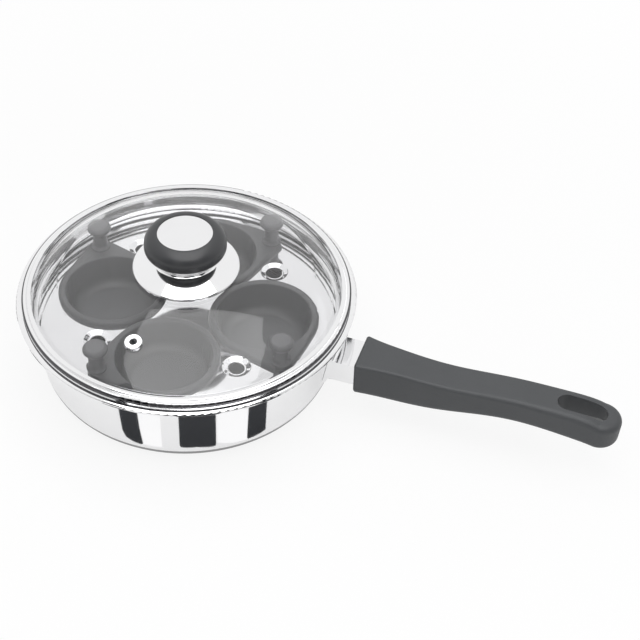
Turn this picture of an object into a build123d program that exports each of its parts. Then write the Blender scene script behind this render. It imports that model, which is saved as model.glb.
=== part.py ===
# Egg poacher pan: a steel pan with a glass lid, a drop-in rack plate and four lift-out cups.
# Millimetres. The origin is the centre of the base underside, +Z is up and the handle runs along +X.
import os
from math import acos, asin, cos, degrees, radians, sin, sqrt, tan

from build123d import *

os.makedirs("parts", exist_ok=True)

# Fits shared by the whole pan
seat_gap = 0.05
bench_gap = 0.1
body_gap = 0.5

# Pan shell
pan_sheet = 0.8
pan_height = 62.4
pan_floor_radius = 89.3
pan_wall_taper = 9.8
pan_corner_radius = 16.2
pan_lip_width = 5.4
pan_lip_bend_radius = 1.6
pan_hem_depth = 2.8
pan_hem_return = 1.8
pan_hem_bend_radius = 1.4
pan_hem_foot_radius = 1.1

# Sandwich base under the pan floor
base_inset = 15.3
base_thickness = 4.6
base_cap_sheet = 0.5
base_cap_edge_radius = 2.0

# Rack plate
rack_sheet = 0.6
rack_depth = 13.1
rack_flange_setback = 3.8
rack_bend_radius = 0.8
rack_corner_radius = 4.3
vent_circle_share = 0.65
vent_radius = 9.5
vent_hole_radius = 4.8
vent_depth = 1.5
vent_bend_radius = 1.0

# Cups: the circle that they stand on and their lips are shares of the deck's radius
cup_count = 4
cup_circle_share = 0.51
cup_first_angle = 4.3
cup_lip_share = 0.356
cup_lip_width = 4.7
cup_depth = 18.85
cup_wall_taper = 12.0
cup_corner_radius = 7.0
cup_sheet = 1.2
cup_lip_height = 2.85
cup_lip_edge_radius = 2.0
cup_mouth_edge_radius = 1.1
cup_hole_gap = 0.6
tab_angle = -60.0
tab_half_angle = 40.0
tab_overhang = 12.1
tab_corner_radius = 2.0

# Lifting post on each cup's tab
post_outset = 6.6
post_headroom = 2.0
post_foot_radius = 6.0
post_foot_height = 0.8
post_stem_radius = 4.5
post_head_radius = 7.4
post_head_height = 4.6
post_head_edge_radius = 2.2
post_bore_radius = 1.3
cup_screw_radius = 1.25
cup_screw_reach = 9.0
cup_screw_head_radius = 3.0
cup_screw_head_height = 1.2

# Lid glass: a shallow crown, a steeper shoulder and a flat rim
glass_rise = 22.0
glass_thickness = 3.0
glass_crown_drop = 10.2
glass_shoulder_width = 18.2
glass_shoulder_radius = 33.0
glass_edge_radius = 0.6
glass_hole_radius = 4.0

# Lid band: one strip of sheet rolled round the glass edge
band_sheet = 0.5
band_glass_gap = 0.3
band_cover = 1.8
band_setback = 3.5
band_reach = 4.0
band_bead_height = 2.8
band_groove_height = 1.9
band_groove_width = 0.9
band_bead_radius = 0.95
band_bend_radius = 0.6
band_tight_radius = 0.4
band_skirt_depth = 5.3
band_play = 1.35
band_skirt_return = 1.0

# Steam vent eyelet in the glass
eyelet_inset = 29.7
eyelet_angle = 264.0
eyelet_flange_radius = 5.35
eyelet_flange_height = 0.8
eyelet_barrel_radius = 3.3
eyelet_hole_radius = 2.15
eyelet_edge_radius = 0.6

# Knob
knob_rise = 46.9
knob_radius = 25.0
knob_body_height = 13.4
knob_crown_radius = 8.2
knob_foot_radius = 3.4
knob_neck_radius = 11.5
knob_cap_radius = 16.7
knob_cap_height = 1.2
knob_cap_crown_radius = 280.0
skirt_sheet = 0.8
skirt_collar_radius = 18.8
skirt_radius = 32.6
skirt_slope = 23.0
skirt_rim_height = 1.3
skirt_bend_radius = 2.5
skirt_rim_radius = 1.3
insert_radius = 4.0
insert_length = 12.0
knob_bore_radius = 2.1
knob_screw_radius = 2.0
knob_screw_head_radius = 4.5
knob_screw_head_height = 2.2
slot_width = 1.0
slot_depth = 1.0
washer_radius = 7.5
washer_thickness = 1.0
gasket_radius = 9.0
gasket_thickness = 1.5
gasket_sleeve_radius = 3.7

# Handle bracket
bracket_sheet = 1.2
bracket_top_height = 44.5
bracket_depth = 16.5
bracket_width = 23.5
bracket_corner_radius = 2.4
bracket_foot_margin = 3.5
bracket_blend_radius = 2.2
tongue_length = 34.0
tongue_width = 12.0
tongue_thickness = 7.0

# Handle grip
grip_standoff = 7.8
grip_length = 162.5
grip_width = 29.5
grip_depth = 24.6
grip_top_height = 48.3
grip_front_radius = 1.5
grip_ridge_radius = 1.8
grip_tip_ridge_radius = 4.5
grip_keel_radius = 4.5
grip_tip_droop = 4.0
grip_slot_length = 31.0
grip_slot_width = 12.5
grip_slot_end_margin = 8.9
grip_scoop_share = 0.6
grip_scoop_angle = 30.0
grip_screw_setback = 24.0
grip_screw_radius = 2.0
grip_screw_head_radius = 4.0
grip_screw_head_height = 2.6
grip_screw_wall = 4.0
grip_screw_reach = 5.0

# The grip's evenly spaced sections, front to tip, as (half width as a share of the grip's width,
# top and keel as shares of its depth above the front's top edge).
grip_section_shares = (
    (0.5, 0.001, -0.998),
    (0.405, -0.067, -1.073),
    (0.377, -0.133, -1.082),
    (0.374, -0.137, -0.969),
    (0.376, -0.073, -0.819),
    (0.383, -0.041, -0.769),
    (0.396, -0.055, -0.832),
    (0.423, -0.182, -0.936),
)



def wall_radius(height, depth):
    """Radius at a height of the cone that lies a depth inside the pan wall's outer face."""
    rise = height - base_thickness
    return pan_floor_radius + rise * tan(radians(pan_wall_taper)) - depth / cos(radians(pan_wall_taper))


# Heights of the pieces as they stack up from the pan's lip
seat_height = pan_height + rack_sheet
deck_height = seat_height - rack_depth
cup_top_height = deck_height + cup_lip_height
glass_rim_height = seat_height + band_sheet
glass_top_height = seat_height + glass_rise
knob_top_height = seat_height + knob_rise
knob_underside_height = knob_top_height - knob_body_height

# Radii that follow from the pan's, inward from its lip: rack, lid band, glass, cups
pan_lip_radius = wall_radius(pan_height, 0) + pan_lip_width
rack_flange_radius = pan_lip_radius - rack_flange_setback
rack_wall_depth = pan_sheet + body_gap + rack_sheet
deck_radius = wall_radius(deck_height, rack_wall_depth)
band_radius = pan_lip_radius - band_setback
band_skirt_radius = wall_radius(seat_height, rack_wall_depth) - band_play
glass_radius = band_radius - band_reach
eyelet_circle_radius = glass_radius - eyelet_inset
cup_circle_radius = cup_circle_share * deck_radius
cup_lip_radius = cup_lip_share * deck_radius
cup_mouth_radius = cup_lip_radius - cup_lip_width
vent_circle_radius = vent_circle_share * deck_radius
base_radius = pan_floor_radius - base_inset
grip_start_x = pan_lip_radius + grip_standoff
grip_end_x = grip_start_x + grip_length

# The glass: a crown of one radius from the middle to the shoulder, then the shoulder's own arc
glass_shoulder_start = glass_radius - glass_shoulder_width
glass_crown_radius = (glass_shoulder_start**2 + glass_crown_drop**2) / (2 * glass_crown_drop)
crown_centre_height = glass_top_height - glass_crown_radius
shoulder_angle = asin(glass_shoulder_start / glass_crown_radius)
shoulder_swing_radius = glass_crown_radius - glass_shoulder_radius
shoulder_centre_radius = shoulder_swing_radius * sin(shoulder_angle)
shoulder_centre_height = crown_centre_height + shoulder_swing_radius * cos(shoulder_angle)


def crown_height(radius, depth=0.0):
    """Height at a radius of the glass crown, a depth below its top face."""
    return crown_centre_height + sqrt((glass_crown_radius - depth) ** 2 - radius**2)


def shoulder_end_angle(height, depth):
    """Angle from the vertical at which the shoulder, a depth under its skin, reaches a height."""
    return acos((height - shoulder_centre_height) / (glass_shoulder_radius - depth))


def ring_profile(inner_radius, outer_radius, low, high):
    """Rectangle for a ring or disc about the pan's axis, in the sketch's radius and height."""
    Polyline((inner_radius, low), (outer_radius, low), (outer_radius, high), (inner_radius, high), close=True)


# Pan shell: one path along the inside and top skin, thickened outward
pan_floor_height = base_thickness + pan_sheet
with BuildPart() as pan_shell:
    with BuildSketch(Plane.XZ):
        with BuildLine():
            FilletPolyline(
                (0, pan_floor_height),
                (wall_radius(pan_floor_height, pan_sheet), pan_floor_height),
                (wall_radius(pan_height, pan_sheet), pan_height),
                (pan_lip_radius, pan_height),
                (pan_lip_radius, pan_height - pan_hem_depth),
                (pan_lip_radius - pan_hem_return, pan_height - pan_hem_depth),
                radius=(pan_corner_radius, pan_lip_bend_radius, pan_hem_bend_radius, pan_hem_foot_radius),
            )
            offset(amount=pan_sheet, side=Side.RIGHT)
        make_face()
    revolve(axis=Axis.Z)
pan_shell.part.label = "pan_shell"
export_step(pan_shell.part, "parts/pan_shell.step")

# Base cap: a thin steel dish that wraps the core
with BuildPart() as base_cap:
    with BuildSketch(Plane.XZ):
        with BuildLine():
            FilletPolyline(
                (0, 0),
                (base_radius, 0),
                (base_radius, base_thickness),
                radius=base_cap_edge_radius,
            )
            offset(amount=base_cap_sheet, side=Side.LEFT)
        make_face()
    revolve(axis=Axis.Z)
base_cap.part.label = "base_cap"
export_step(base_cap.part, "parts/base_cap.step")

# Base core: the aluminium disc inside the cap
core_radius = base_radius - base_cap_sheet - bench_gap
with BuildPart() as base_core:
    with BuildSketch(Plane.XZ):
        with BuildLine():
            ring_profile(0, core_radius, base_cap_sheet, base_thickness)
        make_face()
    revolve(axis=Axis.Z)
    fillet(base_core.edges().group_by(Axis.Z)[0], base_cap_edge_radius - base_cap_sheet)
base_core.part.label = "base_core"
export_step(base_core.part, "parts/base_core.step")

# Handle bracket: a steel box turned up and down along the pan wall, with a tongue for the screw
bracket_low_height = bracket_top_height - bracket_depth
bracket_mid_height = bracket_top_height - bracket_depth / 2
bracket_root_x = pan_floor_radius - bracket_foot_margin
foot_high = bracket_top_height + bracket_foot_margin
foot_low = bracket_low_height - bracket_foot_margin
foot_depth = -bench_gap - bracket_sheet
tongue_low_height = bracket_mid_height - tongue_thickness / 2
grip_screw_x = grip_start_x + grip_screw_setback
with BuildPart() as handle_bracket:
    with BuildSketch(Plane.XZ):
        with BuildLine():
            FilletPolyline(
                (bracket_root_x, foot_high),
                (wall_radius(foot_high, foot_depth), foot_high),
                (wall_radius(bracket_top_height, foot_depth), bracket_top_height),
                (grip_start_x, bracket_top_height),
                (grip_start_x, bracket_low_height),
                (wall_radius(bracket_low_height, foot_depth), bracket_low_height),
                (wall_radius(foot_low, foot_depth), foot_low),
                (bracket_root_x, foot_low),
                radius=(0, bracket_blend_radius, 0, 0, bracket_blend_radius, 0),
            )
            Line((bracket_root_x, foot_low), (bracket_root_x, foot_high))
        make_face()
    extrude(amount=bracket_width / 2, both=True)
    fillet(handle_bracket.edges().filter_by(Axis.X).group_by(SortBy.LENGTH)[-1], bracket_corner_radius)
    with BuildSketch(Plane.XZ):
        with BuildLine():
            Polyline(
                (0, foot_low - bracket_foot_margin),
                (wall_radius(foot_low - bracket_foot_margin, -bench_gap), foot_low - bracket_foot_margin),
                (wall_radius(foot_high + bracket_foot_margin, -bench_gap), foot_high + bracket_foot_margin),
                (0, foot_high + bracket_foot_margin),
                close=True,
            )
        make_face()
    revolve(axis=Axis.Z, mode=Mode.SUBTRACT)
    with BuildSketch(Plane.YZ.offset(bracket_root_x)):
        with Locations((0, bracket_mid_height)):
            RectangleRounded(
                bracket_width - 2 * bracket_sheet,
                bracket_depth - 2 * bracket_sheet,
                bracket_corner_radius - bracket_sheet,
            )
    extrude(amount=grip_start_x - bracket_sheet - bracket_root_x, mode=Mode.SUBTRACT)
    with BuildSketch(Plane.YZ.offset(grip_start_x - bracket_sheet)):
        with Locations((0, bracket_mid_height)):
            Rectangle(tongue_width, tongue_thickness)
    extrude(amount=bracket_sheet + tongue_length)
    with BuildSketch(Plane.XY.offset(tongue_low_height)):
        with Locations((grip_screw_x, 0)):
            Circle(grip_screw_radius + seat_gap)
    extrude(amount=tongue_thickness, mode=Mode.SUBTRACT)
handle_bracket.part.label = "handle_bracket"
export_step(handle_bracket.part, "parts/handle_bracket.step")

# Handle grip: sections lofted from the square front, and the last one turned round to close the tip
pocket_length = tongue_length + bench_gap
grip_screw_seat = tongue_low_height - bench_gap - grip_screw_wall
grip_tip_radius = grip_section_shares[-1][0] * grip_width
tip_half_depth = (grip_section_shares[-1][1] - grip_section_shares[-1][2]) / 2 * grip_depth
grip_tip_reach = grip_tip_radius * cos(radians(grip_tip_droop)) + tip_half_depth * sin(radians(grip_tip_droop))
grip_pitch = (grip_length - grip_tip_reach) / (len(grip_section_shares) - 1)
grip_slot_x = grip_end_x - grip_slot_end_margin - grip_slot_length / 2
grip_scoop_height = grip_top_height - grip_scoop_share * grip_depth
grip_sections = []
for number, (half_share, top_share, keel_share) in enumerate(grip_section_shares):
    along = number / (len(grip_section_shares) - 1)
    droop = radians(grip_tip_droop) if along == 1 else 0
    ridge_radius = grip_ridge_radius + (grip_tip_ridge_radius - grip_ridge_radius) * along**2
    middle = grip_top_height + (top_share + keel_share) / 2 * grip_depth
    section_plane = Plane(
        origin=(grip_start_x + number * grip_pitch, 0, middle),
        x_dir=(0, 1, 0),
        z_dir=(cos(droop), 0, -sin(droop)),
    )
    half_depth = (top_share - keel_share) / 2 * grip_depth
    grip_sections.append((section_plane, half_share * grip_width, half_depth, ridge_radius))
with BuildPart() as handle_grip:
    for section_plane, half_width, half_depth, ridge_radius in grip_sections:
        with BuildSketch(section_plane):
            with BuildLine():
                FilletPolyline(
                    (-half_width, half_depth),
                    (-half_width, -half_depth),
                    (half_width, -half_depth),
                    (half_width, half_depth),
                    close=True,
                    radius=(ridge_radius, grip_keel_radius, grip_keel_radius, ridge_radius),
                )
            make_face()
    loft()
    fillet(handle_grip.faces().sort_by(Axis.X)[0].outer_wire().edges(), grip_front_radius)
    tip_plane = grip_sections[-1][0]
    with BuildSketch(tip_plane):
        with BuildLine():
            FilletPolyline(
                (0, tip_half_depth),
                (grip_tip_radius, tip_half_depth),
                (grip_tip_radius, -tip_half_depth),
                (0, -tip_half_depth),
                radius=(grip_tip_ridge_radius, grip_keel_radius),
            )
            Line((0, -tip_half_depth), (0, tip_half_depth))
        make_face()
    revolve(axis=Axis(tip_plane.origin, tip_plane.y_dir), revolution_arc=-180)
    with BuildSketch(Plane.XY.offset(grip_top_height)):
        with Locations((grip_slot_x, 0)):
            SlotOverall(grip_slot_length, grip_slot_width)
    extrude(amount=-2 * grip_depth, mode=Mode.SUBTRACT)
    with BuildSketch(Plane.XY.offset(grip_scoop_height)):
        with Locations((grip_slot_x, 0)):
            SlotOverall(grip_slot_length, grip_slot_width)
    extrude(amount=-grip_depth, taper=-grip_scoop_angle, mode=Mode.SUBTRACT)
    with BuildSketch(Plane.YZ.offset(grip_start_x)):
        with Locations((0, bracket_mid_height)):
            Rectangle(tongue_width + 2 * bench_gap, tongue_thickness + 2 * bench_gap)
    extrude(amount=pocket_length, mode=Mode.SUBTRACT)
    with BuildSketch(Plane.XY.offset(grip_screw_seat)):
        with Locations((grip_screw_x, 0)):
            Circle(grip_screw_head_radius + bench_gap)
    extrude(amount=-grip_depth, mode=Mode.SUBTRACT)
    with BuildSketch(Plane.XY.offset(grip_screw_seat)):
        with Locations((grip_screw_x, 0)):
            Circle(grip_screw_radius + bench_gap)
    extrude(amount=grip_screw_wall + bench_gap, mode=Mode.SUBTRACT)
handle_grip.part.label = "handle_grip"
export_step(handle_grip.part, "parts/handle_grip.step")

# Handle screw: up through the grip's underside into the tongue
with BuildPart() as handle_screw:
    with BuildSketch(Plane.XY.offset(grip_screw_seat - grip_screw_head_height)):
        with Locations((grip_screw_x, 0)):
            Circle(grip_screw_head_radius)
    extrude(amount=grip_screw_head_height)
    fillet(handle_screw.edges().group_by(Axis.Z)[0], grip_screw_head_height / 3)
    with BuildSketch(Plane.XY.offset(grip_screw_seat)):
        with Locations((grip_screw_x, 0)):
            Circle(grip_screw_radius)
    extrude(amount=grip_screw_wall + bench_gap + grip_screw_reach)
    with BuildSketch(Plane.XY.offset(grip_screw_seat - grip_screw_head_height)):
        with Locations((grip_screw_x, 0)):
            Rectangle(2 * grip_screw_head_radius, slot_width)
    extrude(amount=slot_depth, mode=Mode.SUBTRACT)
handle_screw.part.label = "handle_screw"
export_step(handle_screw.part, "parts/handle_screw.step")

# Rack plate: a shallow pressed tray whose flange lies on the pan lip
cup_angles = [cup_first_angle + number * 360 / cup_count for number in range(cup_count)]
cup_wall_slope = tan(radians(cup_wall_taper))
cup_skin = cup_sheet / cos(radians(cup_wall_taper))
cup_neck_radius = cup_mouth_radius - cup_lip_height * cup_wall_slope + cup_skin
with BuildPart() as vent_dish:
    with BuildSketch(Plane.XZ):
        with BuildLine():
            FilletPolyline(
                (vent_hole_radius, deck_height - vent_depth),
                (vent_hole_radius + vent_bend_radius, deck_height - vent_depth),
                (vent_radius - vent_bend_radius, deck_height),
                (vent_radius, deck_height),
                radius=vent_bend_radius,
            )
            offset(amount=rack_sheet, side=Side.RIGHT)
        make_face()
    revolve(axis=Axis.Z)
with BuildPart() as rack_plate:
    with BuildSketch(Plane.XZ):
        with BuildLine():
            FilletPolyline(
                (0, deck_height),
                (wall_radius(deck_height, rack_wall_depth), deck_height),
                (wall_radius(seat_height, rack_wall_depth), seat_height),
                (rack_flange_radius, seat_height),
                radius=(rack_corner_radius, rack_bend_radius),
            )
            offset(amount=rack_sheet, side=Side.RIGHT)
        make_face()
    revolve(axis=Axis.Z)
    with BuildSketch(Plane.XY.offset(deck_height)):
        with PolarLocations(cup_circle_radius, cup_count, start_angle=cup_first_angle):
            Circle(cup_neck_radius + cup_hole_gap)
        with PolarLocations(vent_circle_radius, cup_count, start_angle=cup_first_angle + 180 / cup_count):
            Circle(vent_radius)
    extrude(amount=-rack_sheet, mode=Mode.SUBTRACT)
    with PolarLocations(vent_circle_radius, cup_count, start_angle=cup_first_angle + 180 / cup_count):
        add(vent_dish.part)
rack_plate.part.label = "rack_plate"
export_step(rack_plate.part, "parts/rack_plate.step")

# Cup shell, drawn about its own axis with the thumb tab along +X: a hollow lip, then the bowl
tab_reach = cup_lip_radius + tab_overhang
tab_half_width = (cup_lip_radius / sin(radians(tab_half_angle)) - tab_reach) * tan(radians(tab_half_angle))
tab_root_x = cup_lip_radius * sin(radians(tab_half_angle))
tab_root_y = cup_lip_radius * cos(radians(tab_half_angle))
post_offset = cup_lip_radius + post_outset
cup_floor_height = cup_top_height - cup_depth
cup_floor_radius = cup_mouth_radius - cup_depth * cup_wall_slope
cup_base_radius = cup_floor_radius - cup_sheet * cup_wall_slope + cup_skin
with BuildSketch() as lip_outline:
    Circle(cup_lip_radius)
    with BuildLine():
        Polyline(
            (tab_root_x, -tab_root_y),
            (tab_reach, -tab_half_width),
            (tab_reach, tab_half_width),
            (tab_root_x, tab_root_y),
            close=True,
        )
    make_face()
    fillet(lip_outline.vertices().sort_by(Axis.X)[-2:], tab_corner_radius)
with BuildPart() as cup_form:
    with BuildSketch(Plane.XY.offset(deck_height)):
        add(lip_outline.sketch)
    extrude(amount=cup_lip_height)
    fillet(cup_form.edges().group_by(Axis.Z)[-1], cup_lip_edge_radius)
    with BuildSketch(Plane.XY.offset(deck_height)):
        add(lip_outline.sketch)
        offset(amount=-cup_sheet)
    extrude(amount=cup_lip_height - cup_sheet, mode=Mode.SUBTRACT)
    with BuildSketch(Plane.XZ):
        with BuildLine():
            FilletPolyline(
                (0, cup_floor_height - cup_sheet),
                (cup_base_radius, cup_floor_height - cup_sheet),
                (cup_mouth_radius + cup_skin, cup_top_height),
                (0, cup_top_height),
                radius=(cup_corner_radius + cup_sheet, 0),
            )
            Line((0, cup_top_height), (0, cup_floor_height - cup_sheet))
        make_face()
    revolve(axis=Axis.Z)
    with BuildSketch(Plane.XZ):
        with BuildLine():
            FilletPolyline(
                (0, cup_floor_height),
                (cup_floor_radius, cup_floor_height),
                (cup_mouth_radius, cup_top_height),
                (0, cup_top_height),
                radius=(cup_corner_radius, 0),
            )
            Line((0, cup_top_height), (0, cup_floor_height))
        make_face()
    revolve(axis=Axis.Z, mode=Mode.SUBTRACT)
    mouth_edge = cup_form.edges().filter_by(GeomType.CIRCLE).group_by(Axis.Z)[-1].sort_by(SortBy.RADIUS)[0]
    fillet(mouth_edge, cup_mouth_edge_radius)
    with BuildSketch(Plane.XY.offset(cup_top_height)):
        with Locations((post_offset, 0)):
            Circle(cup_screw_radius + bench_gap)
    extrude(amount=-cup_sheet, mode=Mode.SUBTRACT)

# Lifting post, on the tab of the same cup frame: flared foot, slim stem, mushroom head
post_axis = Axis((post_offset, 0, 0), (0, 0, 1))
post_top_height = glass_top_height - glass_crown_drop - glass_thickness - post_headroom
post_head_base = post_top_height - post_head_height
post_foot_top = cup_top_height + post_foot_height
post_foot_flare = post_foot_radius - post_stem_radius
post_head_flare = post_head_radius - post_stem_radius
with BuildPart() as post_form:
    with BuildSketch(Plane.XZ):
        with BuildLine():
            FilletPolyline(
                (post_offset, cup_top_height),
                (post_offset + post_foot_radius, cup_top_height),
                (post_offset + post_foot_radius, post_foot_top),
                (post_offset + post_stem_radius, post_foot_top + post_foot_flare),
                (post_offset + post_stem_radius, post_head_base - post_head_flare / 2),
                (post_offset + post_head_radius, post_head_base + post_head_flare / 2),
                (post_offset + post_head_radius, post_top_height),
                (post_offset, post_top_height),
                radius=(
                    0,
                    0,
                    post_foot_radius / 2,
                    post_head_radius / 2,
                    post_head_edge_radius / 3,
                    post_head_edge_radius,
                ),
            )
            Line((post_offset, post_top_height), (post_offset, cup_top_height))
        make_face()
    revolve(axis=post_axis)
    with BuildSketch(Plane.XY.offset(cup_top_height)):
        with Locations((post_offset, 0)):
            Circle(post_bore_radius)
    extrude(amount=cup_screw_reach, mode=Mode.SUBTRACT)

# Cup screw: from the hollow lip, through the tab, into the post
cup_screw_head_top = cup_top_height - cup_sheet
with BuildPart() as screw_form:
    with BuildSketch(Plane.XY.offset(cup_screw_head_top - cup_screw_head_height)):
        with Locations((post_offset, 0)):
            Circle(cup_screw_head_radius)
    extrude(amount=cup_screw_head_height)
    with BuildSketch(Plane.XY.offset(cup_screw_head_top)):
        with Locations((post_offset, 0)):
            Circle(cup_screw_radius)
    extrude(amount=cup_screw_reach)

for number, cup_angle in enumerate(cup_angles, start=1):
    for kind, form in (("cup_shell", cup_form), ("cup_post", post_form), ("cup_screw", screw_form)):
        with BuildPart() as cup_piece:
            with PolarLocations(cup_circle_radius, 1, start_angle=cup_angle):
                add(form.part, rotation=(0, 0, tab_angle))
        cup_piece.part.label = f"{kind}_{number}"
        export_step(cup_piece.part, f"parts/{kind}_{number}.step")

# Lid glass: crown, shoulder and rim in one section, then the knob's hole and the vent's hole
outer_end = shoulder_end_angle(glass_rim_height + glass_thickness, 0)
inner_end = shoulder_end_angle(glass_rim_height, glass_thickness)
inner_crown_radius = glass_crown_radius - glass_thickness
inner_shoulder_radius = glass_shoulder_radius - glass_thickness
eyelet_tilt = asin(eyelet_circle_radius / glass_crown_radius)
eyelet_plane = Plane(
    origin=(
        eyelet_circle_radius * cos(radians(eyelet_angle)),
        eyelet_circle_radius * sin(radians(eyelet_angle)),
        crown_height(eyelet_circle_radius),
    ),
    z_dir=(
        sin(eyelet_tilt) * cos(radians(eyelet_angle)),
        sin(eyelet_tilt) * sin(radians(eyelet_angle)),
        cos(eyelet_tilt),
    ),
)
with BuildPart() as lid_glass:
    with BuildSketch(Plane.XZ):
        with BuildLine():
            CenterArc(
                (0, crown_centre_height), glass_crown_radius, 90 - degrees(shoulder_angle), degrees(shoulder_angle)
            )
            outer_shoulder = CenterArc(
                (shoulder_centre_radius, shoulder_centre_height),
                glass_shoulder_radius,
                90 - degrees(outer_end),
                degrees(outer_end - shoulder_angle),
            )
            CenterArc(
                (0, crown_centre_height), inner_crown_radius, 90 - degrees(shoulder_angle), degrees(shoulder_angle)
            )
            inner_shoulder = CenterArc(
                (shoulder_centre_radius, shoulder_centre_height),
                inner_shoulder_radius,
                90 - degrees(inner_end),
                degrees(inner_end - shoulder_angle),
            )
            FilletPolyline(
                outer_shoulder @ 0,
                (glass_radius, glass_rim_height + glass_thickness),
                (glass_radius, glass_rim_height),
                inner_shoulder @ 0,
                radius=glass_edge_radius,
            )
            Line((0, glass_top_height), (0, glass_top_height - glass_thickness))
        make_face()
    revolve(axis=Axis.Z)
    with BuildSketch(Plane.XY.offset(glass_top_height)):
        Circle(glass_hole_radius)
    extrude(amount=-2 * glass_thickness, mode=Mode.SUBTRACT)
    with BuildSketch(eyelet_plane):
        Circle(eyelet_barrel_radius + bench_gap)
    extrude(amount=2 * glass_thickness, both=True, mode=Mode.SUBTRACT)
lid_glass.part.label = "lid_glass"
export_step(lid_glass.part, "parts/lid_glass.step")

# Lid band: a strip that grips the glass, rolls into a hollow bead and turns down inside the rack
half_strip = band_sheet / 2
band_wall_radius = glass_radius + band_glass_gap + half_strip
band_lip_height = glass_rim_height + glass_thickness + half_strip
band_bead_top = seat_height + band_bead_height - half_strip
band_skirt_foot = seat_height - band_skirt_depth
with BuildPart() as lid_band:
    with BuildSketch(Plane.XZ):
        with BuildLine():
            FilletPolyline(
                (glass_radius - band_cover, band_lip_height),
                (band_wall_radius, band_lip_height),
                (band_wall_radius, seat_height + band_groove_height),
                (band_wall_radius + band_groove_width, band_bead_top),
                (band_radius - half_strip, band_bead_top),
                (band_radius - half_strip, seat_height + half_strip),
                (band_skirt_radius - half_strip, seat_height + half_strip),
                (band_skirt_radius - half_strip, band_skirt_foot),
                (band_skirt_radius - band_skirt_return, band_skirt_foot),
                radius=(
                    band_bend_radius,
                    band_tight_radius,
                    band_tight_radius,
                    band_bead_radius,
                    band_bead_radius,
                    band_tight_radius,
                    band_tight_radius,
                ),
            )
        trace(line_width=band_sheet)
    revolve(axis=Axis.Z)
lid_band.part.label = "lid_band"
export_step(lid_band.part, "parts/lid_band.step")

# Steam vent: a spool-shaped eyelet through the glass, square to its slope
eyelet_top = seat_gap + eyelet_flange_height
eyelet_low = -glass_thickness - seat_gap
eyelet_side = Plane(
    origin=eyelet_plane.origin,
    x_dir=eyelet_plane.x_dir,
    z_dir=-eyelet_plane.y_dir,
)
with BuildPart() as steam_vent:
    with BuildSketch(eyelet_side):
        with BuildLine():
            FilletPolyline(
                (eyelet_hole_radius, eyelet_top),
                (eyelet_flange_radius, eyelet_top),
                (eyelet_flange_radius, seat_gap),
                (eyelet_barrel_radius, seat_gap),
                (eyelet_barrel_radius, eyelet_low),
                (eyelet_flange_radius, eyelet_low),
                (eyelet_flange_radius, eyelet_low - eyelet_flange_height),
                (eyelet_hole_radius, eyelet_low - eyelet_flange_height),
                close=True,
                radius=(eyelet_edge_radius, eyelet_edge_radius, 0, 0, 0, 0, eyelet_edge_radius, 0),
            )
        make_face()
    revolve(axis=Axis(eyelet_plane.origin, eyelet_plane.z_dir))
steam_vent.part.label = "steam_vent"
export_step(steam_vent.part, "parts/steam_vent.step")

# Knob skirt: a flared steel cone that stands on the glass round the knob's neck
skirt_foot_height = crown_height(skirt_radius - skirt_sheet) + seat_gap
skirt_rim_top = skirt_foot_height + skirt_rim_height
skirt_root_height = skirt_rim_top + (skirt_radius - skirt_collar_radius) * tan(radians(skirt_slope))
with BuildPart() as knob_skirt:
    with BuildSketch(Plane.XZ):
        with BuildLine():
            FilletPolyline(
                (skirt_collar_radius, knob_underside_height - body_gap),
                (skirt_collar_radius, skirt_root_height),
                (skirt_radius, skirt_rim_top),
                (skirt_radius, skirt_foot_height),
                radius=(skirt_bend_radius, skirt_rim_radius),
            )
            offset(amount=skirt_sheet, side=Side.RIGHT)
        make_face()
    revolve(axis=Axis.Z)
knob_skirt.part.label = "knob_skirt"
export_step(knob_skirt.part, "parts/knob_skirt.step")

# Knob body: a turned form with a neck down to the glass, a socket for the insert and a cap recess
neck_foot_height = crown_height(glass_hole_radius) + seat_gap
with BuildPart() as knob_body:
    with BuildSketch(Plane.XZ):
        with BuildLine():
            FilletPolyline(
                (0, neck_foot_height),
                (knob_neck_radius, neck_foot_height),
                (knob_neck_radius, knob_underside_height),
                (knob_radius, knob_underside_height),
                (knob_radius, knob_top_height),
                (0, knob_top_height),
                radius=(0, 0, knob_foot_radius, knob_crown_radius),
            )
            Line((0, knob_top_height), (0, neck_foot_height))
        make_face()
    revolve(axis=Axis.Z)
    with BuildSketch(Plane.XY.offset(knob_top_height)):
        Circle(knob_cap_radius + bench_gap)
    extrude(amount=-knob_cap_height, mode=Mode.SUBTRACT)
    with BuildSketch(Plane.XY.offset(neck_foot_height)):
        Circle(insert_radius + seat_gap)
    extrude(amount=insert_length, mode=Mode.SUBTRACT)
knob_body.part.label = "knob_body"
export_step(knob_body.part, "parts/knob_body.step")

# Knob cap: a gently crowned steel disc set flush in the top
knob_cap_floor = knob_top_height - knob_cap_height
knob_cap_turn = asin(knob_cap_radius / knob_cap_crown_radius)
with BuildPart() as knob_cap:
    with BuildSketch(Plane.XZ):
        with BuildLine():
            cap_crown = CenterArc(
                (0, knob_top_height - knob_cap_crown_radius),
                knob_cap_crown_radius,
                90 - degrees(knob_cap_turn),
                degrees(knob_cap_turn),
            )
            Polyline(cap_crown @ 1, (0, knob_cap_floor), (knob_cap_radius, knob_cap_floor), cap_crown @ 0)
        make_face()
    revolve(axis=Axis.Z)
knob_cap.part.label = "knob_cap"
export_step(knob_cap.part, "parts/knob_cap.step")

# Knob insert: the threaded bush moulded into the neck
with BuildPart() as knob_insert:
    with BuildSketch(Plane.XY.offset(neck_foot_height)):
        Circle(insert_radius)
        Circle(knob_bore_radius, mode=Mode.SUBTRACT)
    extrude(amount=insert_length)
knob_insert.part.label = "knob_insert"
export_step(knob_insert.part, "parts/knob_insert.step")

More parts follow.
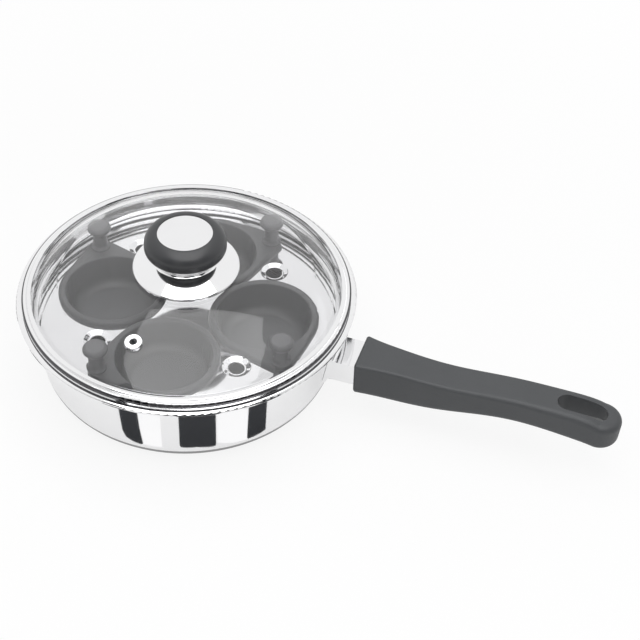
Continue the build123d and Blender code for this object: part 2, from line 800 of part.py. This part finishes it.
# Under the glass: a sleeved rubber gasket, a washer and the knob's screw
gasket_top = crown_height(gasket_radius, glass_thickness) - seat_gap
gasket_low = gasket_top - gasket_thickness
washer_low = gasket_low - washer_thickness
with BuildPart() as knob_gasket:
    with BuildSketch(Plane.XY.offset(gasket_low)):
        Circle(gasket_radius)
    extrude(amount=gasket_thickness)
    with BuildSketch(Plane.XY.offset(gasket_top)):
        Circle(gasket_sleeve_radius)
    extrude(amount=neck_foot_height - gasket_top)
    with BuildSketch(Plane.XY.offset(gasket_low)):
        Circle(knob_screw_radius + bench_gap)
    extrude(amount=neck_foot_height - gasket_low, mode=Mode.SUBTRACT)
knob_gasket.part.label = "knob_gasket"
export_step(knob_gasket.part, "parts/knob_gasket.step")

with BuildPart() as knob_washer:
    with BuildSketch(Plane.XY.offset(washer_low)):
        Circle(washer_radius)
        Circle(knob_screw_radius + bench_gap, mode=Mode.SUBTRACT)
    extrude(amount=washer_thickness)
knob_washer.part.label = "knob_washer"
export_step(knob_washer.part, "parts/knob_washer.step")

with BuildPart() as knob_screw:
    with BuildSketch(Plane.XY.offset(washer_low - knob_screw_head_height)):
        Circle(knob_screw_head_radius)
    extrude(amount=knob_screw_head_height)
    fillet(knob_screw.edges().group_by(Axis.Z)[0], knob_screw_head_height / 3)
    with BuildSketch(Plane.XY.offset(washer_low)):
        Circle(knob_screw_radius)
    extrude(amount=neck_foot_height - washer_low + insert_length - body_gap)
    with BuildSketch(Plane.XY.offset(washer_low - knob_screw_head_height)):
        Rectangle(2 * knob_screw_head_radius, slot_width)
    extrude(amount=slot_depth, mode=Mode.SUBTRACT)
knob_screw.part.label = "knob_screw"
export_step(knob_screw.part, "parts/knob_screw.step")
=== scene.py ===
# Egg poacher pan: finishes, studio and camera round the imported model.
# Lengths are in metres, in the frame of the model: the pan stands on z = 0 and its handle points along +X.

import math

import bpy
from mathutils import Matrix, Vector

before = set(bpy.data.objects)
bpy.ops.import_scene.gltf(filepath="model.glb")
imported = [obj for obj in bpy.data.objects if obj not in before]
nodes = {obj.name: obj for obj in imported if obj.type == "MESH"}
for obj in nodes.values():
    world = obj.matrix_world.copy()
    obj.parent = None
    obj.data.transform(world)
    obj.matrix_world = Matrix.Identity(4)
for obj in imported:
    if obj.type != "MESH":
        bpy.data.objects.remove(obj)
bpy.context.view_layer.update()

# Camera: its place, its turns in the model's frame, and its lens and sensor in millimetres

CAMERA_PLACE = Vector((0.30355, -0.71511, 0.77064))
CAMERA_LENS = 95.57
CAMERA_SENSOR = 36.0
CAMERA_NEAREST = 0.05
CAMERA_FARTHEST = 20.0
MODEL_TURN = math.radians(23.0)
CAMERA_TILT = math.radians(42.33)
CAMERA_YAW = math.radians(-4.42)
CAMERA_PITCH = math.radians(-1.18)
CAMERA_ROLL = math.radians(-2.31)

# Finishes: colours are linear, scales count per metre, bump depths are in metres

NOISE_CORE = (0.3, 0.7)
POLISHED_DULL = (0.855, 0.855, 0.862)
POLISHED_CLEAN = (0.905, 0.905, 0.912)
POLISHED_ROUGHNESS = (0.045, 0.085)
BUFFING_SCALE = 2600.0
BUFFING_ALONG = 2.0
BUFFING_DEPTH = 0.000002
SATIN_SCALE = 1500.0
SATIN_ALONG = 3.0
SATIN_DEPTH = 0.000008
SATIN_SHADE = 0.86
SATIN_ROUGHNESS_SHARES = (0.8, 1.25)
# Painted shade: the lid band's outer edge is coloured dark past a radius, for the shadow in the gap between
# lid and pan
GAP_SHADE_COLOUR = (0.10, 0.10, 0.105, 1.0)
GAP_SHADE_FADE = 0.0003
BAND_GAP_SHADE_RADIUS = 0.1000
GLASS_TINT = (0.985, 0.985, 0.99, 1.0)
GLASS_SHADOW_TINT = (0.935, 0.935, 0.94, 1.0)
GLASS_IOR = 1.5
FILM_ROUGHNESS = 0.012
FILM_PATCHES = (0.45, 0.8)
COATING_DARK = (0.068, 0.069, 0.071)
COATING_FLECK = (0.092, 0.093, 0.095)
COATING_FLECK_LEVELS = (0.60, 0.74)
COATING_ROUGHNESS = (0.30, 0.38)
COATING_DEPTH = 0.000004
MOULDING_ROUGHNESS_SHARES = (0.9, 1.12)
RUBBER_DARK = (0.02, 0.02, 0.02)
RUBBER_PALE = (0.04, 0.04, 0.04)
RUBBER_ROUGHNESS = (0.6, 0.8)
RUBBER_DEPTH = 0.00002

# Studio: levels are shares of white, the softbox has radiances, and each bar a turn and a width in degrees

STUDIO_WHITE = (1.0, 1.0, 1.0, 1.0)
CAMERA_SIDE = math.radians(-67.0)
FLOOR_REACH = 2.5
FLOOR_SHADE = 0.9
FLOOR_ROUGHNESS = 0.9
FLOOR_SPECULAR = 0.1
FLOOR_GLOW_SEEN = 0.86
FLOOR_GLOW_MIRRORED = 0.62
FLOOR_SHADOW_REACH = (0.22, 0.60)
SKY_FOR_MATT = 0.45
SKY_FAR_SIDE = ((0.0, 0.60), (0.05, 0.92), (0.16, 1.0), (0.30, 0.97), (1.0, 0.97))
SKY_NEAR_SIDE = ((0.0, 0.06), (0.09, 0.08), (0.13, 0.50), (0.30, 0.62), (0.75, 0.80), (1.0, 0.97))
SKY_SIDES_MEET = (-0.1, 0.5)
CARD_COLOUR = (0.05, 0.052, 0.056, 1.0)
CARD_ROUGHNESS = 0.9
CARD_LIFT = 0.0006
CARD_TURNS = (0, 120, 240)
GLOW_LIFT = 0.0004
GLOW_LEVEL = 1.08
# Painted shade: a grey ring under the pan's foot, seen only in mirrors, stands in for the floor's shadow
# there
FOOT_RING_RADII = (0.0755, 0.0915)
FOOT_RING_SIDES = 96
FOOT_SHADE_LEVEL = 0.30
BAR_DISTANCE = 1.6
BAR_TOP = 1.9
BARS = {"bar_left": (-44.0, 19.0), "bar_centre": (8.0, 33.0), "bar_right": (52.0, 19.0)}
SOFTBOX_HEIGHT = 1.3
SOFTBOX_RADIANCE = 2.4
SOFTBOX_GLINT = 3.0
SOFTBOX_THROUGH_GLASS = 1.15
SOFTBOX_OUTLINE = (
    (-0.505, 0.640), (-0.462, -1.250), (1.20, -1.250), (1.20, -0.335), (0.583, 0.202), (0.180, 0.630),
    (0.120, 0.830),
)
DARK_CARDS = {
    "card_left": (
        (-0.0656, -0.1700), (-0.0218, -0.1087), (-0.0177, -0.1032), (-0.0131, -0.1002), (-0.0070, -0.0993),
        (0.0004, -0.0990), (0.0014, -0.0998), (-0.0034, -0.1096), (-0.0300, -0.1790),
    ),
    "card_centre": (
        (0.0500, -0.1830), (0.0295, -0.0975), (0.0300, -0.0961), (0.0320, -0.0950), (0.0414, -0.0915),
        (0.0518, -0.0852), (0.0535, -0.0845), (0.0546, -0.0850), (0.1090, -0.1500),
    ),
    "card_right": (
        (0.1550, -0.1040), (0.0725, -0.0684), (0.0722, -0.0674), (0.0768, -0.0624), (0.0824, -0.0562),
        (0.0834, -0.0560), (0.1680, -0.0710),
    ),
}
GLOW_CARDS = {
    "glow_left": (
        (0.0022, -0.0996), (0.0160, -0.0985), (0.0160, -0.1850), (-0.0270, -0.1800), (-0.0030, -0.1096),
    ),
    "glow_right": (
        (0.0560, -0.0850), (0.0716, -0.0680), (0.1520, -0.1050), (0.1120, -0.1510),
    ),
}


def new_material(name):
    """A node material with its tree, its Principled shader and its output."""
    mat = bpy.data.materials.new(name)
    mat.use_nodes = True
    tree = mat.node_tree
    tree.nodes.clear()
    output = tree.nodes.new("ShaderNodeOutputMaterial")
    shader = tree.nodes.new("ShaderNodeBsdfPrincipled")
    tree.links.new(shader.outputs["BSDF"], output.inputs["Surface"])
    return mat, tree, shader, output


def add(tree, kind, **settings):
    """A node of that kind. Settings with a lower-case name are its properties, the others its inputs."""
    node = tree.nodes.new(kind)
    for key, value in settings.items():
        if hasattr(node, key):
            setattr(node, key, value)
        else:
            node.inputs[key.replace("_", " ")].default_value = value
    return node


def feed(tree, value, socket):
    """Links the value to the socket if it is a socket too, else sets it there."""
    if isinstance(value, bpy.types.NodeSocket):
        tree.links.new(value, socket)
    else:
        socket.default_value = value


def math_node(tree, operation, first, second=None):
    """A Math node; each operand is a socket or a number."""
    node = add(tree, "ShaderNodeMath", operation=operation)
    feed(tree, first, node.inputs[0])
    if second is not None:
        feed(tree, second, node.inputs[1])
    return node.outputs["Value"]


def place(tree):
    """The socket with a point's place in the piece, which is its place in the model's frame at rest."""
    return tree.nodes.new("ShaderNodeTexCoord").outputs["Object"]


def noise(tree, scale, detail, roughness, vector=None):
    """A noise texture's value socket, for a scale per metre."""
    node = add(tree, "ShaderNodeTexNoise", Scale=scale, Detail=detail, Roughness=roughness)
    if vector is None:
        vector = place(tree)
    tree.links.new(vector, node.inputs["Vector"])
    return node.outputs["Fac"]


def spread(tree, value, low, high, start=0.0, end=1.0):
    """The value, moved from the range start..end to low..high and kept inside it."""
    node = add(tree, "ShaderNodeMapRange", clamp=True, From_Min=start, From_Max=end, To_Min=low, To_Max=high)
    tree.links.new(value, node.inputs["Value"])
    return node.outputs["Result"]


def mix_colours(tree, share, first, second):
    """The first colour where the share is 0, the second where it is 1; each is a socket or four numbers."""
    node = add(tree, "ShaderNodeMix", data_type="RGBA")
    tree.links.new(share, node.inputs["Factor"])
    feed(tree, first, node.inputs["A"])
    feed(tree, second, node.inputs["B"])
    return node.outputs["Result"]


def between(tree, share, first, second):
    """A colour between two that have three numbers each."""
    return mix_colours(tree, share, (*first, 1.0), (*second, 1.0))


def mix_shaders(tree, share, first, second):
    """The first shader where the share is 0, the second where it is 1."""
    node = tree.nodes.new("ShaderNodeMixShader")
    tree.links.new(share, node.inputs["Fac"])
    tree.links.new(first, node.inputs[1])
    tree.links.new(second, node.inputs[2])
    return node.outputs["Shader"]


def emission(tree, level=1.0):
    """An Emission node of that grey, with strength 1."""
    return add(tree, "ShaderNodeEmission", Color=(level, level, level, 1.0), Strength=1.0)


def ray_share(tree, *kinds):
    """1 for a ray of one of those kinds, else 0."""
    path = tree.nodes.new("ShaderNodeLightPath")
    total = path.outputs[kinds[0]]
    for kind in kinds[1:]:
        total = math_node(tree, "ADD", total, path.outputs[kind])
    return math_node(tree, "MINIMUM", total, 1.0)


def bump(tree, shader, height, distance, strength):
    """Bumps the shader's normal by a height socket."""
    node = add(tree, "ShaderNodeBump", Strength=strength, Distance=distance)
    tree.links.new(height, node.inputs["Height"])
    tree.links.new(node.outputs["Normal"], shader.inputs["Normal"])


def split_place(tree):
    """The three coordinates of a point's place."""
    split = tree.nodes.new("ShaderNodeSeparateXYZ")
    tree.links.new(place(tree), split.inputs["Vector"])
    return [split.outputs[name] for name in "XYZ"]


def axis_distance(tree, x, y):
    """The distance from the pan's axis."""
    squares = math_node(tree, "ADD", math_node(tree, "MULTIPLY", x, x), math_node(tree, "MULTIPLY", y, y))
    return math_node(tree, "SQRT", squares)


def rings(tree, fine, along):
    """A texture vector that changes quickly away from the axis and with height, and slowly round the axis."""
    x, y, z = split_place(tree)
    joined = tree.nodes.new("ShaderNodeCombineXYZ")
    tree.links.new(math_node(tree, "MULTIPLY", axis_distance(tree, x, y), fine), joined.inputs["X"])
    tree.links.new(math_node(tree, "MULTIPLY", math_node(tree, "ARCTAN2", y, x), along), joined.inputs["Y"])
    tree.links.new(math_node(tree, "MULTIPLY", z, fine), joined.inputs["Z"])
    return joined.outputs["Vector"]


def mirror_steel(name, gap_shade_radius=None):
    """Polished stainless steel with faint buffing lines round the axis, and painted shade outside a given
    radius for a gap's shadow.
    """
    mat, tree, shader, _ = new_material(name)
    shader.inputs["Metallic"].default_value = 1.0
    around = rings(tree, BUFFING_SCALE, BUFFING_ALONG)
    lines = noise(tree, scale=1.0, detail=3.0, roughness=0.6, vector=around)
    cloud = noise(tree, scale=38.0, detail=3.0, roughness=0.55)
    colour = between(tree, cloud, POLISHED_DULL, POLISHED_CLEAN)
    # Painted shade: dark colour past the radius stands in for the shadow in the gap between lid band and pan
    if gap_shade_radius is not None:
        x, y, _ = split_place(tree)
        outside = spread(tree, axis_distance(tree, x, y), 0.0, 1.0, gap_shade_radius, gap_shade_radius + GAP_SHADE_FADE)
        colour = mix_colours(tree, outside, colour, GAP_SHADE_COLOUR)
    tree.links.new(colour, shader.inputs["Base Color"])
    tree.links.new(spread(tree, lines, *POLISHED_ROUGHNESS, *NOISE_CORE), shader.inputs["Roughness"])
    bump(tree, shader, lines, BUFFING_DEPTH, strength=0.4)
    return mat


def satin_steel(name, colour, rough):
    """Turned or pressed metal that isn't polished, with fine lines round the pan's axis."""
    mat, tree, shader, _ = new_material(name)
    shader.inputs["Metallic"].default_value = 1.0
    around = rings(tree, SATIN_SCALE, SATIN_ALONG)
    lines = noise(tree, scale=1.0, detail=4.0, roughness=0.6, vector=around)
    darker = tuple(SATIN_SHADE * c for c in colour)
    tree.links.new(between(tree, lines, darker, colour), shader.inputs["Base Color"])
    low, high = (rough * share for share in SATIN_ROUGHNESS_SHARES)
    tree.links.new(spread(tree, lines, low, high, *NOISE_CORE), shader.inputs["Roughness"])
    bump(tree, shader, lines, SATIN_DEPTH, strength=0.6)
    return mat


def clear_glass():
    """Toughened glass with a faint uneven film, which lets the lamps' light through to what it covers."""
    mat, tree, shader, output = new_material("lid_glass")
    shader.inputs["Base Color"].default_value = GLASS_TINT
    shader.inputs["Transmission Weight"].default_value = 1.0
    shader.inputs["IOR"].default_value = GLASS_IOR
    film = noise(tree, scale=60.0, detail=4.0, roughness=0.6)
    tree.links.new(spread(tree, film, 0.0, FILM_ROUGHNESS, *FILM_PATCHES), shader.inputs["Roughness"])
    clear = add(tree, "ShaderNodeBsdfTransparent", Color=GLASS_SHADOW_TINT)
    shadow = tree.nodes.new("ShaderNodeLightPath").outputs["Is Shadow Ray"]
    mixed = mix_shaders(tree, shadow, shader.outputs["BSDF"], clear.outputs["BSDF"])
    tree.links.new(mixed, output.inputs["Surface"])
    return mat


def cup_coating():
    """Dark non-stick coating: sprayed, so very finely pebbled, with faint flecks and a soft shine."""
    mat, tree, shader, _ = new_material("cup_coating")
    pebble = noise(tree, scale=2600.0, detail=2.0, roughness=0.5)
    fleck = noise(tree, scale=4200.0, detail=1.0, roughness=0.4)
    flecked = spread(tree, fleck, 0.0, 1.0, *COATING_FLECK_LEVELS)
    tree.links.new(between(tree, flecked, COATING_DARK, COATING_FLECK), shader.inputs["Base Color"])
    tree.links.new(spread(tree, pebble, *COATING_ROUGHNESS, *NOISE_CORE), shader.inputs["Roughness"])
    bump(tree, shader, pebble, COATING_DEPTH, strength=0.5)
    return mat


def moulding(name, dark, pale, rough, grain_scale, grain_depth):
    """Moulded phenolic plastic with a fine grain and slightly uneven shine."""
    mat, tree, shader, _ = new_material(name)
    grain = noise(tree, grain_scale, detail=3.0, roughness=0.6)
    cloud = noise(tree, scale=55.0, detail=2.0, roughness=0.5)
    tree.links.new(between(tree, cloud, dark, pale), shader.inputs["Base Color"])
    low, high = (rough * share for share in MOULDING_ROUGHNESS_SHARES)
    tree.links.new(spread(tree, grain, low, high, *NOISE_CORE), shader.inputs["Roughness"])
    bump(tree, shader, grain, grain_depth, strength=0.6)
    return mat


def gasket_rubber():
    """Matt silicone rubber with a little dust."""
    mat, tree, shader, _ = new_material("gasket_rubber")
    dust = noise(tree, scale=700.0, detail=3.0, roughness=0.5)
    tree.links.new(between(tree, dust, RUBBER_DARK, RUBBER_PALE), shader.inputs["Base Color"])
    tree.links.new(spread(tree, dust, *RUBBER_ROUGHNESS), shader.inputs["Roughness"])
    bump(tree, shader, dust, RUBBER_DEPTH, strength=0.5)
    return mat


materials = {
    "mirror_steel": mirror_steel("mirror_steel"),
    "base_steel": satin_steel("base_steel", (0.72, 0.72, 0.72), rough=0.2),
    "core_aluminium": satin_steel("core_aluminium", (0.75, 0.75, 0.76), rough=0.4),
    "lid_glass": clear_glass(),
    "cup_coating": cup_coating(),
    "post_moulding": moulding(
        "post_moulding", (0.098, 0.098, 0.101), (0.112, 0.112, 0.115),
        rough=0.42, grain_scale=1800.0, grain_depth=0.00001,
    ),
    "handle_moulding": moulding(
        "handle_moulding", (0.052, 0.055, 0.059), (0.062, 0.065, 0.069),
        rough=0.5, grain_scale=1500.0, grain_depth=0.00002,
    ),
    "knob_moulding": moulding(
        "knob_moulding", (0.033, 0.034, 0.037), (0.043, 0.044, 0.047),
        rough=0.33, grain_scale=1700.0, grain_depth=0.00001,
    ),
    "fastener_steel": satin_steel("fastener_steel", (0.66, 0.66, 0.66), rough=0.28),
    "insert_brass": satin_steel("insert_brass", (0.74, 0.56, 0.28), rough=0.3),
    "gasket_rubber": gasket_rubber(),
}

for node in nodes.values():
    for holder in node.material_slots:
        holder.material = materials[holder.material.name.split(".")[0]]

# The lid band's rolled outer edge is painted dark, as painted shade for the narrow gap between lid and pan

for holder in nodes["lid_band"].material_slots:
    holder.material = mirror_steel("mirror_steel_gap_shade", BAND_GAP_SHADE_RADIUS)


def floor_white():
    """Matt pale paper with the part's shadow, which the camera, steel and glass see as nearly plain white."""
    mat, tree, shader, output = new_material("floor_white")
    shader.inputs["Base Color"].default_value = (FLOOR_SHADE, FLOOR_SHADE, FLOOR_SHADE, 1.0)
    shader.inputs["Roughness"].default_value = FLOOR_ROUGHNESS
    shader.inputs["Specular IOR Level"].default_value = FLOOR_SPECULAR
    x, y, _ = split_place(tree)
    whiter = spread(tree, axis_distance(tree, x, y), FLOOR_GLOW_SEEN, 1.0, *FLOOR_SHADOW_REACH)
    seen = math_node(tree, "MULTIPLY", ray_share(tree, "Is Camera Ray", "Is Transmission Ray"), whiter)
    mirrored = math_node(tree, "MULTIPLY", ray_share(tree, "Is Glossy Ray"), FLOOR_GLOW_MIRRORED)
    share = math_node(tree, "MAXIMUM", seen, mirrored)
    mixed = mix_shaders(tree, share, shader.outputs["BSDF"], emission(tree).outputs["Emission"])
    tree.links.new(mixed, output.inputs["Surface"])
    return mat


def card_dark():
    """Matt dark card."""
    mat, _, shader, _ = new_material("card_dark")
    shader.inputs["Base Color"].default_value = CARD_COLOUR
    shader.inputs["Roughness"].default_value = CARD_ROUGHNESS
    shader.inputs["Specular IOR Level"].default_value = 0.0
    return mat


def card_glow(name, level):
    """A card that mirrors see as evenly lit."""
    mat, tree, _, output = new_material(name)
    tree.links.new(emission(tree, level).outputs["Emission"], output.inputs["Surface"])
    return mat


def softbox_white():
    """A bright even panel, brighter where glass and steel mirror it and dimmer through the glass."""
    mat, tree, _, output = new_material("softbox_white")
    glow = emission(tree)
    mirrored = math_node(tree, "MULTIPLY", ray_share(tree, "Is Glossy Ray"), SOFTBOX_GLINT - SOFTBOX_RADIANCE)
    through = math_node(
        tree, "MULTIPLY", ray_share(tree, "Is Transmission Ray"), SOFTBOX_THROUGH_GLASS - SOFTBOX_RADIANCE
    )
    extra = math_node(tree, "ADD", mirrored, through)
    tree.links.new(math_node(tree, "ADD", extra, SOFTBOX_RADIANCE), glow.inputs["Strength"])
    tree.links.new(glow.outputs["Emission"], output.inputs["Surface"])
    return mat


def staged(name, corners, faces, material):
    """A piece of the stage with that mesh."""
    mesh = bpy.data.meshes.new(name)
    mesh.from_pydata(corners, [], faces)
    mesh.materials.append(material)
    card = bpy.data.objects.new(name, mesh)
    bpy.context.scene.collection.objects.link(card)
    return card


def flat_card(name, corners, material):
    """A staged polygon through those corners."""
    return staged(name, [tuple(corner) for corner in corners], [tuple(range(len(corners)))], material)


def ring_card(name, radii, height, material):
    """A staged flat ring round the pan's axis."""
    sides = FOOT_RING_SIDES
    corners = []
    for radius in radii:
        for step in range(sides):
            angle = 2 * math.pi * step / sides
            corners.append((radius * math.cos(angle), radius * math.sin(angle), height))
    faces = [(step, (step + 1) % sides, sides + (step + 1) % sides, sides + step) for step in range(sides)]
    return staged(name, corners, faces, material)


def only_mirrored(card, through_glass):
    """Steel and glass mirror this card; the camera, the floor and matt surfaces don't see it."""
    card.visible_camera = False
    card.visible_diffuse = False
    card.visible_shadow = False
    card.visible_volume_scatter = False
    card.visible_transmission = through_glass


def cards_round_pan(outlines, height, material):
    """Lays each card on the floor three times, a third of a turn apart, for stripes on other sides too."""
    for name, outline in outlines.items():
        for turned in CARD_TURNS:
            turning = Matrix.Rotation(math.radians(turned), 3, "Z")
            corners = [turning @ Vector((x, y, height)) for x, y in outline]
            only_mirrored(flat_card(f"{name}_{turned}", corners, material), False)


flat_card(
    "floor",
    [(x * FLOOR_REACH, y * FLOOR_REACH, 0.0) for x, y in ((-1, -1), (1, -1), (1, 1), (-1, 1))],
    floor_white(),
)

# The wall mirrors dark cards as stripes, brighter cards beside them and a grey ring under its foot, painted
# shade for the floor's shadow there

dark = card_dark()
cards_round_pan(DARK_CARDS, CARD_LIFT, dark)
cards_round_pan(GLOW_CARDS, GLOW_LIFT, card_glow("glow_white", GLOW_LEVEL))
# Painted shade: the grey ring glows at a fixed dim level for the shadowed floor under the pan's foot
foot_painted_shade = card_glow("foot_painted_shade", FOOT_SHADE_LEVEL)
only_mirrored(ring_card("foot_ring", FOOT_RING_RADII, GLOW_LIFT, foot_painted_shade), False)

# Three tall dark bars stand on the camera's side, for the knob's skirt

for name, (turned, width) in BARS.items():
    ends = [CAMERA_SIDE + math.radians(turned + side * width / 2) for side in (-1, 1)]
    left, right = [(BAR_DISTANCE * math.cos(end), BAR_DISTANCE * math.sin(end)) for end in ends]
    corners = [(*left, 0.0), (*right, 0.0), (*right, BAR_TOP), (*left, BAR_TOP)]
    only_mirrored(flat_card(name, corners, dark), True)


def sky_ramp(tree, height, levels):
    """The sky's level by its height above the horizon, from 0 to 1."""
    ramp = tree.nodes.new("ShaderNodeValToRGB")
    tree.links.new(height, ramp.inputs["Fac"])
    stops = ramp.color_ramp.elements
    for position, _ in levels[1:-1]:
        stops.new(position)
    for stop, (position, level) in zip(stops, levels):
        stop.position = position
        stop.color = (level, level, level, 1.0)
    return ramp.outputs["Color"]


def sky():
    """A sky: white for the camera, graded and dim on one side for steel and glass, grey for matt surfaces."""
    world = bpy.data.worlds.new("studio")
    bpy.context.scene.world = world
    world.use_nodes = True
    tree = world.node_tree
    tree.nodes.clear()
    output = tree.nodes.new("ShaderNodeOutputWorld")
    direction = tree.nodes.new("ShaderNodeTexCoord").outputs["Generated"]
    split = tree.nodes.new("ShaderNodeSeparateXYZ")
    tree.links.new(direction, split.inputs["Vector"])
    far_side = sky_ramp(tree, split.outputs["Z"], SKY_FAR_SIDE)
    near_side = sky_ramp(tree, split.outputs["Z"], SKY_NEAR_SIDE)
    toward = add(tree, "ShaderNodeVectorMath", operation="DOT_PRODUCT")
    tree.links.new(direction, toward.inputs[0])
    toward.inputs[1].default_value = (math.cos(CAMERA_SIDE), math.sin(CAMERA_SIDE), 0.0)
    nearness = spread(tree, toward.outputs["Value"], 0.0, 1.0, *SKY_SIDES_MEET)
    mirrored = tree.nodes.new("ShaderNodeBackground")
    tree.links.new(mix_colours(tree, nearness, far_side, near_side), mirrored.inputs["Color"])
    matt = add(tree, "ShaderNodeBackground", Color=STUDIO_WHITE, Strength=SKY_FOR_MATT)
    seen = add(tree, "ShaderNodeBackground", Color=STUDIO_WHITE, Strength=1.0)
    mirrors = ray_share(tree, "Is Glossy Ray", "Is Transmission Ray")
    graded = mix_shaders(tree, mirrors, matt.outputs["Background"], mirrored.outputs["Background"])
    whole = mix_shaders(tree, ray_share(tree, "Is Camera Ray"), graded, seen.outputs["Background"])
    tree.links.new(whole, output.inputs["Surface"])


sky()

# A large softbox hangs over the pan, where the lid's glass mirrors its edges to the camera

softbox = flat_card("softbox", [(x, y, SOFTBOX_HEIGHT) for x, y in SOFTBOX_OUTLINE], softbox_white())
softbox.visible_camera = False


def camera_turn():
    """The camera's turn: tilted down, yawed, pitched and rolled, and then turned round the pan."""
    right = Vector((1.0, 0.0, 0.0))
    down = Vector((0.0, -math.sin(CAMERA_TILT), -math.cos(CAMERA_TILT)))
    forward = Vector((0.0, math.cos(CAMERA_TILT), -math.sin(CAMERA_TILT)))
    yawed = right * math.cos(CAMERA_YAW) + forward * math.sin(CAMERA_YAW)
    forward = forward * math.cos(CAMERA_YAW) - right * math.sin(CAMERA_YAW)
    pitched = down * math.cos(CAMERA_PITCH) + forward * math.sin(CAMERA_PITCH)
    forward = forward * math.cos(CAMERA_PITCH) - down * math.sin(CAMERA_PITCH)
    right = yawed * math.cos(CAMERA_ROLL) - pitched * math.sin(CAMERA_ROLL)
    down = yawed * math.sin(CAMERA_ROLL) + pitched * math.cos(CAMERA_ROLL)
    axes = Matrix((right, -down, -forward)).transposed().to_4x4()
    return Matrix.Rotation(MODEL_TURN, 4, "Z") @ axes


camera_data = bpy.data.cameras.new("camera")
camera_data.sensor_width = CAMERA_SENSOR
camera_data.lens = CAMERA_LENS
camera_data.clip_start = CAMERA_NEAREST
camera_data.clip_end = CAMERA_FARTHEST
camera = bpy.data.objects.new("camera", camera_data)
bpy.context.scene.collection.objects.link(camera)
camera.matrix_world = Matrix.Translation(CAMERA_PLACE) @ camera_turn()
bpy.context.scene.camera = camera

bpy.context.scene.view_settings.view_transform = "Standard"

bpy.context.view_layer.update()
